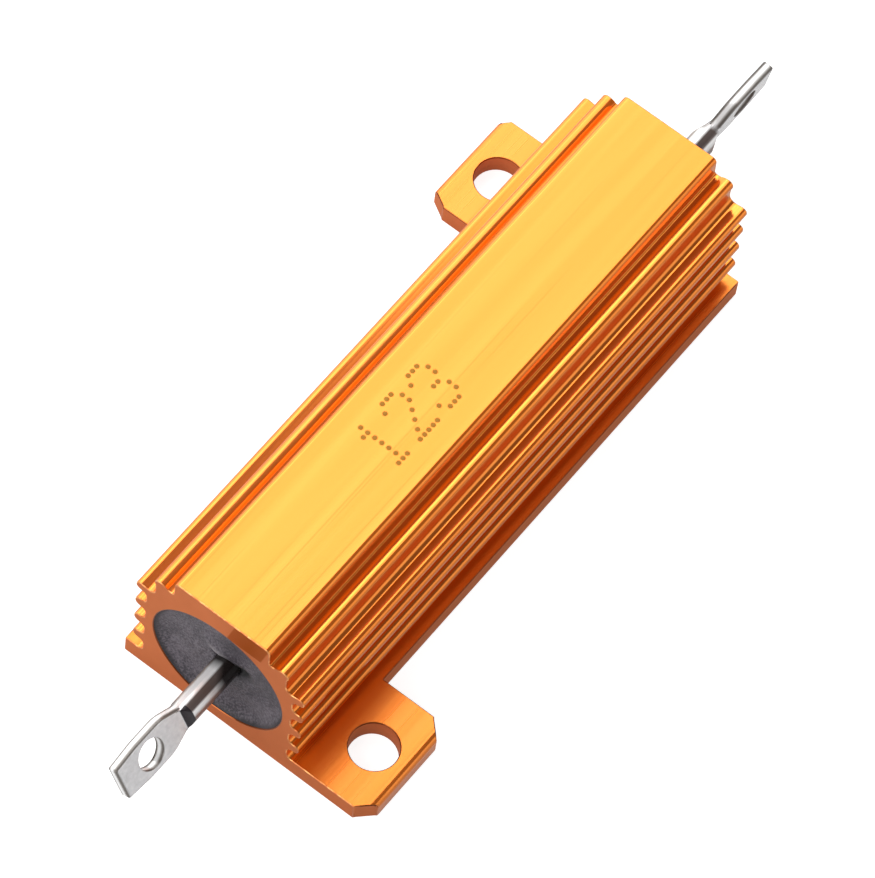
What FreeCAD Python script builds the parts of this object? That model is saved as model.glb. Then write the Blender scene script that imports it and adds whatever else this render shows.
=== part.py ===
import FreeCAD, Part
import math
import os
import Sketcher

# Aluminium-housed wirewound power resistor, 50 W size.
# The part's frame: X along the resistor, Z up from the mounting face, Y across it.
# The origin is the middle of the mounting face. All lengths are in millimetres.

# Driving sizes: name, value, what it is
SIZES = [
    ("body_length", 50, "length of the extruded housing"),
    ("body_height", 14.65, "mounting face to the top land"),
    ("flange_width", 26.8, "over the outer edges of both ears"),
    ("flange_thickness", 1.75, "thickness of the base flange"),
    ("flange_edge_radius", 0.5, "round along the flange's upper outer edge"),
    ("milled_width", 15.6, "width of the base where the flange is milled away"),
    ("ear_length", 8.9, "length of each ear along the housing"),
    ("ear_cut", 1.25, "cut across both outer corners of the left ear"),
    ("ear_blend", 0.6, "round where those cuts meet the ear's edges"),
    ("small_cut", 0.75, "cut across the right ear's corner at the housing's end"),
    ("long_cut_along", 0.85, "cut across the right ear's other corner, along the housing"),
    ("long_cut_across", 1.45, "the same cut, across the housing"),
    ("mount_hole_dia", 3.6, "mounting hole diameter"),
    ("mount_hole_inset", 2.95, "hole centre to the outer edge of its ear"),
    ("wall_width", 12.6, "over the side walls, at the bottom of the notches"),
    ("fin_width", 14.44, "over the tips of the side fins"),
    ("fin_pitch", 2.36, "spacing of the side fins"),
    ("fin_tip_thickness", 0.82, "thickness of a side fin at its tip"),
    ("fin_draft", 0.24, "how much thicker a side fin is at its root"),
    ("fin_count", 4, "side fins on each side"),
    ("fin_tip_radius", 0.4, "round on the fins' tips"),
    ("notch_root_radius", 0.45, "round at the bottom of the notches"),
    ("gutter_fall", 0.3, "fall of the top fin towards the neck"),
    ("neck_width", 11.24, "over the neck between the top fin and the rib"),
    ("neck_height", 1.57, "height of the straight neck"),
    ("neck_radius", 0.55, "round at the foot of the neck"),
    ("rib_width", 11.44, "over the two upper ribs"),
    ("rib_flare", 0.2, "height over which the rib's underside flares out"),
    ("rib_height", 0.64, "height of the rib's outer face"),
    ("rib_radius", 0.46, "round on the rib's outer edge"),
    ("rib_top_width", 0.87, "width of the rib's sloping top"),
    ("rib_top_drop", 0.15, "fall of the rib's top towards the groove"),
    ("rib_inner_radius", 0.9, "round where the rib's top meets the groove's bank"),
    ("groove_depth", 0.2, "depth of the groove below the rib's inner edge"),
    ("groove_bank", 0.25, "slant of the groove's outer bank"),
    ("groove_fall", 0.05, "fall of the groove's floor towards the land"),
    ("groove_radius", 0.2, "round where the groove meets the land's wall"),
    ("land_width", 8.1, "width of the top land"),
    ("land_draft", 0.05, "lean of the land's side walls"),
    ("land_edge_radius", 0.42, "round along the edges of the top land"),
    ("bore_dia", 11.1, "bore for the wound core"),
    ("bore_height", 6.87, "bore axis above the mounting face"),
    ("filling_inset", 0.08, "how far the filling's rim lies inside the housing's end"),
    ("filling_dish", 0.5, "depth of the hollow that the filling shrank to"),
    ("dish_dia", 6.6, "ring where the hollow is deepest"),
    ("filling_climb", 0.35, "how far the filling climbs from there to the terminal"),
    ("core_offset", 0.75, "how far the wound core sits off the housing's middle"),
    ("core_drift", 0.26, "how far the wound core sits off the bore's axis"),
    ("core_length", 36, "length of the ceramic core"),
    ("core_dia", 6, "diameter of the ceramic core"),
    ("seat_length", 4.5, "length of the seat for each end cap"),
    ("cap_wall", 0.5, "wall of the end caps"),
    ("cap_end_wall", 0.6, "end wall of the end caps"),
    ("ribbon_width", 2.6, "width of the resistance ribbon"),
    ("ribbon_thickness", 0.3, "thickness of the resistance ribbon"),
    ("ribbon_pitch", 4.2, "advance of the winding in one turn"),
    ("ribbon_on_cap", 1.2, "how far the winding runs onto each end cap"),
    ("winding_clearance", 0.02, "gap under and over the winding"),
    ("weld_head_dia", 4, "head of the terminal, welded to the cap"),
    ("weld_head_thickness", 0.8, "thickness of that head"),
    ("shank_dia", 2, "round shank of the terminal"),
    ("terminal_reach", 36.55, "middle of the core to the tip of a terminal"),
    ("blade_length", 6.36, "length of the flattened blade"),
    ("blade_thickness", 0.85, "thickness of the blade"),
    ("blade_width", 3.26, "greatest width of the blade"),
    ("blade_tip_width", 2.8, "width of the blade at its tip"),
    ("blade_root_width", 1.6, "width where the blade grows out of the shank"),
    ("blade_shoulder", 1.6, "distance over which the blade reaches its width"),
    ("blade_shoulder_radius", 3.0, "round of the blade's shoulder"),
    ("blade_taper", 2.2, "length of the narrowing towards the tip"),
    ("blade_taper_radius", 8.0, "round where the narrowing starts"),
    ("blade_corner_radius", 0.15, "round on the corners of the tip"),
    ("blade_edge_break", 0.1, "bevel along the edges of the blade"),
    ("left_ramp", 0.67, "length of the slope from shank to blade, left terminal"),
    ("right_ramp", 1.3, "length of the slope from shank to blade, right terminal"),
    ("shank_overlap", 0.3, "how far the round shank runs on into the blade"),
    ("blade_root_lead", 0.6, "how far the blade's outline starts inside the slope"),
    ("lug_hole_dia", 2.4, "hole in the blade"),
    ("lug_hole_setback", 3.0, "hole centre to the tip of the blade"),
    ("left_twist", 28, "turn of the left blade about the axis, degrees"),
    ("right_twist", 7, "turn of the right blade about the axis, degrees"),
    ("cutter_margin", 2, "how far a cut runs past the metal that it removes"),
]

# Two positions nearer to each other than this count as one
SAME = 1e-4


class Size:
    """A length with its number and the formula that gives it from the sheet."""

    def __init__(self, number, formula):
        self.number = number
        self.formula = formula

    def __add__(self, other):
        other = as_size(other)
        return Size(self.number + other.number, f"({self.formula} + {other.formula})")

    def __sub__(self, other):
        other = as_size(other)
        return Size(self.number - other.number, f"({self.formula} - {other.formula})")

    def __mul__(self, factor):
        factor = as_size(factor)
        return Size(self.number * factor.number, f"({self.formula} * {factor.formula})")

    def __truediv__(self, divisor):
        return Size(self.number / divisor, f"({self.formula} / {divisor})")

    def __neg__(self):
        return Size(-self.number, f"(-{self.formula})")


ZERO = Size(0, "0")


def as_size(value):
    if isinstance(value, Size):
        return value
    return Size(value, str(value))


class Sheet:
    """The sheet of driving sizes; sheet.bore_dia reads one as a Size."""

    def __init__(self, doc, rows):
        self.rows = {}
        cells = doc.addObject("Spreadsheet::Sheet", "Sizes")
        for row, (name, value, note) in enumerate(rows, start=1):
            cells.set(f"A{row}", note)
            cells.set(f"B{row}", str(value))
            cells.setAlias(f"B{row}", name)
            self.rows[name] = Size(value, f"Sizes.{name}")
        doc.recompute()

    def __getattr__(self, name):
        return self.rows[name]


def new_body(doc, label):
    body = doc.addObject("PartDesign::Body", label)
    body.Label = label
    return body


def place(item, x, y, z, turn_formula):
    """Binds where an object lies in the part's frame, and how it is turned."""
    spot = f"vector({x.formula}; {y.formula}; {z.formula})"
    item.setExpression("Placement", f"placement({spot}; {turn_formula})")


def place_on_core_axis(item, size, x, turn_formula):
    place(item, x, -size.core_drift, size.bore_height, turn_formula)


def sketch_on(body, role, name, lift=None):
    """A sketch on one of the body's own origin planes, raised by lift if given."""
    planes = [item for item in body.Origin.OriginFeatures if item.Role == role]
    sketch = body.newObject("Sketcher::SketchObject", name)
    sketch.AttachmentSupport = [(planes[0], "")]
    sketch.MapMode = "FlatFace"
    if lift is not None:
        sketch.setExpression("AttachmentOffset.Base.z", lift.formula)
    return sketch


def pin(sketch, geometry, end, u, v):
    """Holds one point of a sketch at (u, v) by formulas of the sheet."""
    for kind, axis, size in (("DistanceX", -2, u), ("DistanceY", -1, v)):
        if size is ZERO:
            sketch.addConstraint(Sketcher.Constraint("PointOnObject", geometry, end, axis))
        else:
            index = sketch.addConstraint(
                Sketcher.Constraint(kind, -1, 1, geometry, end, size.number))
            sketch.setExpression(f"Constraints[{index}]", size.formula)


def bind_radius(sketch, geometry, radius):
    index = sketch.addConstraint(Sketcher.Constraint("Radius", geometry, radius.number))
    sketch.setExpression(f"Constraints[{index}]", radius.formula)


def circle(sketch, u, v, diameter):
    centre = FreeCAD.Vector(u.number, v.number, 0)
    ring = Part.Circle(centre, FreeCAD.Vector(0, 0, 1), diameter.number / 2)
    geometry = sketch.addGeometry(ring, False)
    pin(sketch, geometry, 3, u, v)
    bind_radius(sketch, geometry, diameter / 2)


def arc_between(start, end, centre, radius):
    """An arc of a sketch, and whether it runs from end to start."""
    first = math.atan2(start.y - centre.y, start.x - centre.x)
    last = math.atan2(end.y - centre.y, end.x - centre.x)
    swapped = math.sin(last - first) < 0
    if swapped:
        first, last = last, first
    ring = Part.Circle(centre, FreeCAD.Vector(0, 0, 1), radius)
    return Part.ArcOfCircle(ring, first, last), swapped


def outline(sketch, corners):
    """Draws a closed outline through its corners and binds it to the sheet.

    A corner is (u, v), or (u, v, radius) where it is rounded.
    """
    count = len(corners)
    spots = [FreeCAD.Vector(c[0].number, c[1].number, 0) for c in corners]
    starts = list(spots)
    ends = list(spots)
    rounds = {}
    for i, corner in enumerate(corners):
        if len(corner) == 3:
            back = (spots[i - 1] - spots[i]).normalize()
            ahead = (spots[(i + 1) % count] - spots[i]).normalize()
            half = back.getAngle(ahead) / 2
            reach = corner[2].number / math.tan(half)
            ends[i] = spots[i] + back * reach
            starts[i] = spots[i] + ahead * reach
            centre = spots[i] + (back + ahead).normalize() * (corner[2].number / math.sin(half))
            rounds[i] = centre
    pieces = []
    for i, corner in enumerate(corners):
        if i in rounds:
            arc, swapped = arc_between(ends[i], starts[i], rounds[i], corner[2].number)
            pieces.append((i, "round", sketch.addGeometry(arc, False), swapped))
        line = Part.LineSegment(starts[i], ends[(i + 1) % count])
        pieces.append((i, "line", sketch.addGeometry(line, False), False))
    for k, (i, kind, geometry, swapped) in enumerate(pieces):
        _, kind_before, geometry_before, swapped_before = pieces[k - 1]
        joint = "Coincident" if kind == kind_before else "Tangent"
        leave = 1 if swapped_before else 2
        enter = 2 if swapped else 1
        sketch.addConstraint(
            Sketcher.Constraint(joint, geometry_before, leave, geometry, enter))
        if kind == "round":
            corner_point = sketch.addGeometry(Part.Point(spots[i]), True)
            geometry_after = pieces[(k + 1) % len(pieces)][2]
            for side_line in (geometry_before, geometry_after):
                sketch.addConstraint(
                    Sketcher.Constraint("PointOnObject", corner_point, 1, side_line))
            pin(sketch, corner_point, 1, corners[i][0], corners[i][1])
            bind_radius(sketch, geometry, corners[i][2])
        elif kind_before == "line":
            pin(sketch, geometry, enter, corners[i][0], corners[i][1])


def mirrored(corners):
    """The same outline on the other side of the sketch's vertical axis."""
    return [(-corner[0],) + tuple(corner[1:]) for corner in reversed(corners)]


def pad(body, sketch, name, length):
    feature = body.newObject("PartDesign::Pad", name)
    feature.Profile = sketch
    feature.SideType = "Symmetric"
    feature.setExpression("Length", length.formula)
    return feature


def cut_through(body, sketch, name):
    """A pocket through everything on both sides of its sketch."""
    feature = body.newObject("PartDesign::Pocket", name)
    feature.Profile = sketch
    feature.Type = "ThroughAll"
    feature.SideType = "Symmetric"
    return feature


def turn(body, sketch, kind, name):
    """Turns a sketch about its horizontal axis, to add metal or to take it away."""
    feature = body.newObject(kind, name)
    feature.Profile = sketch
    feature.ReferenceAxis = (sketch, ["H_Axis"])
    feature.Angle = 360
    return feature


def edge_names(shape, wanted):
    return [f"Edge{i}" for i, edge in enumerate(shape.Edges, start=1) if wanted(edge)]


def build_housing(doc, size):
    """One extrusion, notched, bored, milled to two ears and drilled."""
    body = new_body(doc, "housing")
    flange_half = size.flange_width / 2
    milled_half = size.milled_width / 2
    wall_half = size.wall_width / 2
    fin_half = size.fin_width / 2
    neck_half = size.neck_width / 2
    rib_half = size.rib_width / 2
    rib_inner = rib_half - size.rib_top_width
    land_half = size.land_width / 2
    land_foot = land_half + size.land_draft
    notch_mouth = size.fin_pitch - size.fin_tip_thickness
    step_top = size.flange_thickness + size.fin_pitch * size.fin_count
    gutter_floor = step_top - size.gutter_fall
    neck_top = gutter_floor + size.neck_height
    rib_foot = neck_top + size.rib_flare
    rib_top = rib_foot + size.rib_height
    rib_shoulder = rib_top - size.rib_top_drop
    groove_top = rib_shoulder - size.groove_depth
    groove_floor = groove_top - size.groove_fall
    groove_edge = rib_inner - size.groove_bank

    right_side = [
        (flange_half, ZERO),
        (flange_half, size.flange_thickness, size.flange_edge_radius),
        (fin_half, size.flange_thickness),
        (fin_half, step_top),
        (neck_half, gutter_floor, size.neck_radius),
        (neck_half, neck_top),
        (rib_half, rib_foot),
        (rib_half, rib_top, size.rib_radius),
        (rib_inner, rib_shoulder, size.rib_inner_radius),
        (groove_edge, groove_top),
        (land_foot, groove_floor, size.groove_radius),
        (land_half, size.body_height, size.land_edge_radius),
    ]
    section = sketch_on(body, "YZ_Plane", "Extrusion_section")
    outline(section, right_side + mirrored(right_side))
    pad(body, section, "Extrusion", size.body_length)

    # The notch between two fins, once on each side, then repeated upwards
    mouth_top = size.flange_thickness + notch_mouth
    notch = [
        (wall_half, size.flange_thickness, size.notch_root_radius),
        (fin_half + size.cutter_margin, size.flange_thickness),
        (fin_half + size.cutter_margin, mouth_top),
        (fin_half, mouth_top),
        (wall_half, mouth_top - size.fin_draft, size.notch_root_radius),
    ]
    notches = sketch_on(body, "YZ_Plane", "Fin_notches")
    outline(notches, notch)
    outline(notches, mirrored(notch))
    lowest = cut_through(body, notches, "Lowest_notches")
    pattern = body.newObject("PartDesign::LinearPattern", "Side_fins")
    pattern.Originals = [lowest]
    pattern.Direction = (notches, ["V_Axis"])
    pattern.setExpression("Length", (size.fin_pitch * (size.fin_count - 1)).formula)
    pattern.setExpression("Occurrences", size.fin_count.formula)
    body.Tip = pattern
    doc.recompute()

    # The fins' tips lie furthest out above the flange
    def fin_tip(edge):
        box = edge.BoundBox
        along = box.XLength > size.body_length.number / 2
        at_tip = abs(abs(box.Center.y) - fin_half.number) < SAME
        return along and at_tip and box.Center.z > size.flange_thickness.number + SAME

    tips = body.newObject("PartDesign::Fillet", "Fin_tips")
    tips.Base = (pattern, edge_names(pattern.Shape, fin_tip))
    tips.setExpression("Radius", size.fin_tip_radius.formula)

    bore = sketch_on(body, "YZ_Plane", "Bore_circle")
    circle(bore, ZERO, size.bore_height, size.bore_dia)
    cut_through(body, bore, "Bore")

    # The flange is milled away on one side of each end, so that two ears stay
    end = size.body_length / 2
    ear_end = end - size.ear_length
    past_end = end + size.cutter_margin
    past_side = flange_half + size.cutter_margin
    milling = sketch_on(body, "XY_Plane", "Milled_sides")
    outline(milling, [
        (-ear_end, -milled_half),
        (-ear_end, -past_side),
        (past_end, -past_side),
        (past_end, -milled_half),
    ])
    outline(milling, [
        (ear_end, milled_half),
        (ear_end, past_side),
        (-past_end, past_side),
        (-past_end, milled_half),
    ])
    cut_through(body, milling, "Flange_milling")

    # Each ear's two outer corners are cut across: where an ear ends, which way its
    # metal lies from there, and how far the cut goes along and across the housing
    cuts = [
        (-end, 1, size.ear_cut, size.ear_cut),
        (-ear_end, -1, size.ear_cut, size.ear_cut),
        (end, -1, size.small_cut, size.small_cut),
        (ear_end, 1, size.long_cut_along, size.long_cut_across),
    ]
    corners = sketch_on(body, "XY_Plane", "Ear_corner_cuts")
    for tip, inward, along, across in cuts:
        sign = 1 if tip.number > 0 else -1
        side = flange_half * sign
        outside = past_side * sign
        beyond = tip - size.cutter_margin * inward
        outline(corners, [
            (beyond, side - across * sign),
            (tip, side - across * sign, size.ear_blend),
            (tip + along * inward, side, size.ear_blend),
            (tip + along * inward, outside),
            (beyond, outside),
        ])
    cut_through(body, corners, "Ear_corners")

    # Each hole lies halfway along its ear
    hole_x = end - size.ear_length / 2
    hole_y = flange_half - size.mount_hole_inset
    drill = sketch_on(body, "XY_Plane", "Mounting_hole_centres", size.flange_thickness)
    for sign in (1, -1):
        circle(drill, hole_x * sign, hole_y * sign, size.mount_hole_dia)
    doc.recompute()
    holes = body.newObject("PartDesign::Hole", "Mounting_holes")
    holes.Profile = drill
    holes.DepthType = "ThroughAll"
    holes.setExpression("Diameter", size.mount_hole_dia.formula)
    return body


class CoreSteps:
    """Where the wound core's steps lie, from its middle outwards, and their radii."""

    def __init__(self, size):
        self.core_end = size.core_length / 2
        self.cap_mouth = self.core_end - size.seat_length
        self.cap_end = self.core_end + size.cap_end_wall
        self.head_end = self.cap_end + size.weld_head_thickness
        self.winding_end = self.cap_mouth + size.ribbon_on_cap
        self.core_radius = size.core_dia / 2
        self.seat_radius = self.core_radius - size.cap_wall
        self.ribbon_inner = self.core_radius + size.winding_clearance
        self.ribbon_outer = self.ribbon_inner + size.ribbon_thickness
        self.winding_room = self.ribbon_outer + size.winding_clearance


def build_filling(doc, size):
    """The compound in the bore, dished at both ends, with room for the wound core."""
    body = new_body(doc, "moulding_compound")
    steps = CoreSteps(size)
    face = size.body_length / 2
    outside = face + size.cutter_margin
    shank = size.shank_dia / 2
    head = size.weld_head_dia / 2
    middle = size.core_offset
    hollow = face - size.filling_dish
    right_end = [
        (face - size.filling_inset, size.bore_dia / 2),
        (hollow, size.dish_dia / 2),
        (hollow + size.filling_climb, shank),
        (hollow + size.filling_climb, ZERO),
    ]
    plug = sketch_on(body, "XZ_Plane", "Plug_section")
    outline(plug, mirrored(right_end) + right_end)
    turn(body, plug, "PartDesign::Revolution", "Plug")

    # The core's room lies off the bore's axis
    room = sketch_on(body, "XZ_Plane", "Room_section", size.core_drift)
    outline(room, [
        (outside, ZERO),
        (outside, shank),
        (middle + steps.head_end, shank),
        (middle + steps.head_end, head),
        (middle + steps.cap_end, head),
        (middle + steps.cap_end, steps.core_radius),
        (middle + steps.winding_end, steps.core_radius),
        (middle + steps.winding_end, steps.winding_room),
        (middle - steps.winding_end, steps.winding_room),
        (middle - steps.winding_end, steps.core_radius),
        (middle - steps.cap_end, steps.core_radius),
        (middle - steps.cap_end, head),
        (middle - steps.head_end, head),
        (middle - steps.head_end, shank),
        (-outside, shank),
        (-outside, ZERO),
    ])
    turn(body, room, "PartDesign::Groove", "Room")
    place(body, ZERO, ZERO, size.bore_height, "rotation(vector(0; 0; 1); 0)")
    return body


def build_core(doc, size):
    """The ceramic rod, turned down at both ends to seat the caps."""
    body = new_body(doc, "ceramic_core")
    steps = CoreSteps(size)
    section = sketch_on(body, "XZ_Plane", "Core_section")
    outline(section, [
        (-steps.core_end, ZERO),
        (steps.core_end, ZERO),
        (steps.core_end, steps.seat_radius),
        (steps.cap_mouth, steps.seat_radius),
        (steps.cap_mouth, steps.core_radius),
        (-steps.cap_mouth, steps.core_radius),
        (-steps.cap_mouth, steps.seat_radius),
        (-steps.core_end, steps.seat_radius),
    ])
    turn(body, section, "PartDesign::Revolution", "Core")
    place_on_core_axis(body, size, size.core_offset, "rotation(vector(0; 0; 1); 0)")
    return body


def build_end_cap(doc, size, label, facing):
    """A pressed cup on the core's seat, as wide as the core."""
    body = new_body(doc, label)
    steps = CoreSteps(size)
    section = sketch_on(body, "XZ_Plane", label + "_section")
    outline(section, [
        (steps.core_end, ZERO),
        (steps.cap_end, ZERO),
        (steps.cap_end, steps.core_radius),
        (steps.cap_mouth, steps.core_radius),
        (steps.cap_mouth, steps.seat_radius),
        (steps.core_end, steps.seat_radius),
    ])
    turn(body, section, "PartDesign::Revolution", label + "_cup")
    place_on_core_axis(body, size, size.core_offset, facing)
    return body


def build_ribbon(doc, size):
    """The resistance ribbon, wound round the core from one cap to the other."""
    steps = CoreSteps(size)
    first = size.core_offset - steps.winding_end + size.ribbon_width / 2
    travel = steps.winding_end * 2 - size.ribbon_width
    along_x = "rotation(vector(0; 1; 0); 90)"
    path = doc.addObject("Part::Helix", "Ribbon_path")
    path.LocalCoord = "Right-handed"
    path.Style = "Old style"
    path.setExpression("Pitch", size.ribbon_pitch.formula)
    path.setExpression("Height", travel.formula)
    path.setExpression("Radius", steps.ribbon_inner.formula)
    place_on_core_axis(path, size, first, along_x)
    section = doc.addObject("Sketcher::SketchObject", "Ribbon_section")
    outline(section, [
        (steps.ribbon_inner, -size.ribbon_width / 2),
        (steps.ribbon_outer, -size.ribbon_width / 2),
        (steps.ribbon_outer, size.ribbon_width / 2),
        (steps.ribbon_inner, size.ribbon_width / 2),
    ])
    place_on_core_axis(section, size, first, along_x + " * rotation(vector(1; 0; 0); 90)")
    ribbon = doc.addObject("Part::Sweep", "resistance_ribbon")
    ribbon.Label = "resistance_ribbon"
    ribbon.Sections = [section]
    ribbon.Spine = path
    ribbon.Solid = True
    ribbon.Frenet = True
    return ribbon


def build_terminal(doc, size, label, facing, ramp):
    """A tinned pin: weld head, round shank, and an end pressed into a pierced blade."""
    body = new_body(doc, label)
    steps = CoreSteps(size)
    shank = size.shank_dia / 2
    tip = size.terminal_reach
    blade_start = tip - size.blade_length
    ramp_start = blade_start - ramp
    flat = size.blade_thickness / 2
    shank_end = blade_start + size.shank_overlap

    pin_section = sketch_on(body, "XZ_Plane", label + "_pin_section")
    outline(pin_section, [
        (steps.cap_end, ZERO),
        (shank_end, ZERO),
        (shank_end, shank),
        (steps.head_end, shank),
        (steps.head_end, size.weld_head_dia / 2),
        (steps.cap_end, size.weld_head_dia / 2),
    ])
    turn(body, pin_section, "PartDesign::Revolution", label + "_pin")

    # The press leaves a slope on both faces, from the shank down to the blade
    slope = [
        (ramp_start, shank),
        (blade_start, flat),
        (shank_end + size.cutter_margin, flat),
        (shank_end + size.cutter_margin, shank + size.cutter_margin),
        (ramp_start, shank + size.cutter_margin),
    ]
    press = sketch_on(body, "XY_Plane", label + "_press_section")
    outline(press, slope)
    outline(press, [(corner[0], -corner[1]) for corner in reversed(slope)])
    cut_through(body, press, label + "_press")

    upper = [
        (blade_start - size.blade_root_lead, size.blade_root_width / 2),
        (blade_start + size.blade_shoulder, size.blade_width / 2, size.blade_shoulder_radius),
        (tip - size.blade_taper, size.blade_width / 2, size.blade_taper_radius),
        (tip, size.blade_tip_width / 2, size.blade_corner_radius),
    ]
    lower = [(corner[0], -corner[1]) + tuple(corner[2:]) for corner in reversed(upper)]
    plan = sketch_on(body, "XZ_Plane", label + "_blade_plan")
    outline(plan, upper + lower)
    blade = pad(body, plan, label + "_blade", size.blade_thickness)
    doc.recompute()

    # The long edges of the blade, from its shoulder to its tip
    def blade_edge(edge):
        box = edge.BoundBox
        on_face = abs(abs(box.Center.y) - flat.number) < SAME and box.YLength < SAME
        return on_face and box.XMin > shank_end.number + SAME

    edges = body.newObject("PartDesign::Chamfer", label + "_blade_edges")
    edges.Base = (blade, edge_names(blade.Shape, blade_edge))
    edges.setExpression("Size", size.blade_edge_break.formula)

    lug = sketch_on(body, "XZ_Plane", label + "_lug_circle")
    circle(lug, tip - size.lug_hole_setback, ZERO, size.lug_hole_dia)
    cut_through(body, lug, label + "_lug_hole")
    place_on_core_axis(body, size, size.core_offset, facing)
    return body


def check_and_export(doc, nodes):
    """Stops at a failed object or a bad shape, and only then writes the files."""
    for item in doc.Objects:
        for state in item.State:
            if state in ("Invalid", "Error"):
                raise RuntimeError(f"{item.Label} is {state}")
    for node in nodes:
        shape = node.Shape
        if shape.isNull() or not shape.isValid() or len(shape.Solids) != 1:
            raise RuntimeError(f"{node.Label} is not one valid solid")
    os.makedirs("parts", exist_ok=True)
    for node in nodes:
        node.Shape.exportStep(f"parts/{node.Label}.step")
        print(f"{node.Label}: {node.Shape.Volume:.2f} mm3")


def main():
    doc = FreeCAD.newDocument("power_resistor")
    size = Sheet(doc, SIZES)
    to_right = "rotation(vector(0; 0; 1); 0)"
    to_left = "rotation(vector(0; 0; 1); 180)"
    right_blade = f"rotation(vector(1; 0; 0); {size.right_twist.formula})"
    left_blade = f"{to_left} * rotation(vector(1; 0; 0); {size.left_twist.formula})"
    nodes = [
        build_housing(doc, size),
        build_filling(doc, size),
        build_core(doc, size),
        build_ribbon(doc, size),
        build_end_cap(doc, size, "end_cap_left", to_left),
        build_end_cap(doc, size, "end_cap_right", to_right),
        build_terminal(doc, size, "terminal_left", left_blade, size.left_ramp),
        build_terminal(doc, size, "terminal_right", right_blade, size.right_ramp),
    ]
    doc.recompute()
    check_and_export(doc, nodes)


main()
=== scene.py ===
import math

import bmesh
import bpy
from mathutils import Matrix, Vector, noise


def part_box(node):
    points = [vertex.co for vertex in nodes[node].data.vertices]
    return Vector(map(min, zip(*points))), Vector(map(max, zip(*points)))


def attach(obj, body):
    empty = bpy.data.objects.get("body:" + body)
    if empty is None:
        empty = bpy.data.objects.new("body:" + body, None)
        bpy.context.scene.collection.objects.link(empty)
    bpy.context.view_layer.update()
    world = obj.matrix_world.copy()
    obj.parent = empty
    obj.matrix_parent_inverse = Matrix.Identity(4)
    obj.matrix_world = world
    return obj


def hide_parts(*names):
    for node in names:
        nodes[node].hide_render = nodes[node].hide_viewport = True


# Aluminium-housed wirewound power resistor: gold-orange anodised extrusion, grey
# moulding compound in its bore, tinned terminals pressed into pierced blades.
# X runs along the resistor, Z up from its mounting face. Blender works in metres,
# so sizes in millimetres are multiplied by MM.
MM = 0.001

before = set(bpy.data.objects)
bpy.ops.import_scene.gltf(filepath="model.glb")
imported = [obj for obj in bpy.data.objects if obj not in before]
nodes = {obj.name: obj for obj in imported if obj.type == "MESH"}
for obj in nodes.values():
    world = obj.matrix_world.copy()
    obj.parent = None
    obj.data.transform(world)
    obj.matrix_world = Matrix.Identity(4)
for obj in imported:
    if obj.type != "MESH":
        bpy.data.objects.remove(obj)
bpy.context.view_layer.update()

# Camera, fitted to the photograph: where it stands around the aim point, and its lens
CAMERA_AZIMUTH = math.radians(-60.051)
CAMERA_ELEVATION = math.radians(61.389)
CAMERA_ROLL = math.radians(8.978)
CAMERA_DISTANCE = 439.062 * MM
CAMERA_AIM = Vector((-1.435, -0.574, 7.0)) * MM
CAMERA_REACH = 10
PHOTO_WIDTH = 875
PHOTO_HEIGHT = 878
FOCAL_LENGTH_PIXELS = 6362.6
SENSOR_MM = 36

# CAD meshes are loose triangles: corners this close are one corner, and triangles
# that turn by less than this are one flat face
SAME_CORNER = 0.0005 * MM
SAME_FLAT = math.radians(1)

# Housing: sizes that tell its cut faces from the extruded ones
HOUSING_END = 25.0 * MM
HOLE_ALONG = 20.55 * MM
HOLE_ACROSS = 10.45 * MM
HOLE_RADIUS = 1.8 * MM
HOLE_REACH = HOLE_RADIUS * 1.1
MILLED_HALF = 7.8 * MM
MILLING_SLACK = 0.01 * MM
FLANGE_THICKNESS = 1.75 * MM
BORE_HEIGHT = 6.87 * MM
BORE_RADIUS = 5.55 * MM
# A face whose normal has less than this along an axis lies along that axis
ALONG_AXIS = 0.05

# The housing's materials, in the order that its mesh holds them
SKIN, CUT, EDGE_WEAR_AND_LIGHT = 0, 1, 2

# Broken edges: how wide they are, how far an edge has to turn to be broken, and in
# how many segments
HOUSING_EDGE = (0.08 * MM, math.radians(50), 2)
TERMINAL_EDGE = (0.06 * MM, math.radians(25), 3)
# How strongly a corner's normal follows the largest faces at it; 50 is neutral
LARGE_FACE_WEIGHT = 90

# How much of the housing's skin is seen as dyed oxide, and not as metal under it
OXIDE_SHARE = 0.32

# Many finishes fade in over a short way. Each pair below is such a fade: where the
# finish starts and where it is full.

# The ears' skin, which is rougher, below the root of the fins
EAR_SKIN = (FLANGE_THICKNESS + 0.35 * MM, FLANGE_THICKNESS + 0.15 * MM)
EAR_ROUGHNESS = 0.13

# A darker patch of the near end's face, whose two sides slant
PATCH_SLANT = (0, 1, 0.25)
PATCH_LEFT = (2.66 * MM, 2.54 * MM)
PATCH_RIGHT = (-0.34 * MM, -0.22 * MM)
PATCH_FACE = (-24.7 * MM, -24.9 * MM)
PATCH_FOOT = (12.4 * MM, 12.5 * MM)

# Where the housing's broken edges get wear and a painted highlight: outside the bore's rim,
# at the sawn ends and above the flange's edge
PAST_RIM = (BORE_RADIUS + 0.15 * MM, BORE_RADIUS + 0.25 * MM)
AT_SAWN_END = (HOUSING_END - 0.4 * MM, HOUSING_END - 0.2 * MM)
ABOVE_FLANGE_EDGE = (FLANGE_THICKNESS - 0.2 * MM, FLANGE_THICKNESS - 0.1 * MM)

# Painted shade on the filling along the gap at the bore's wall
WALL_SHADE = (BORE_RADIUS - 0.12 * MM, BORE_RADIUS + 0.08 * MM)

# Terminals: half a blade's thickness, and which way the near and the far one face
BLADE_FACE = 0.425 * MM
BLADE_FACING = (0, -0.883, 0.469)
FAR_BLADE_FACING = (0, -0.993, -0.122)
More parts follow.
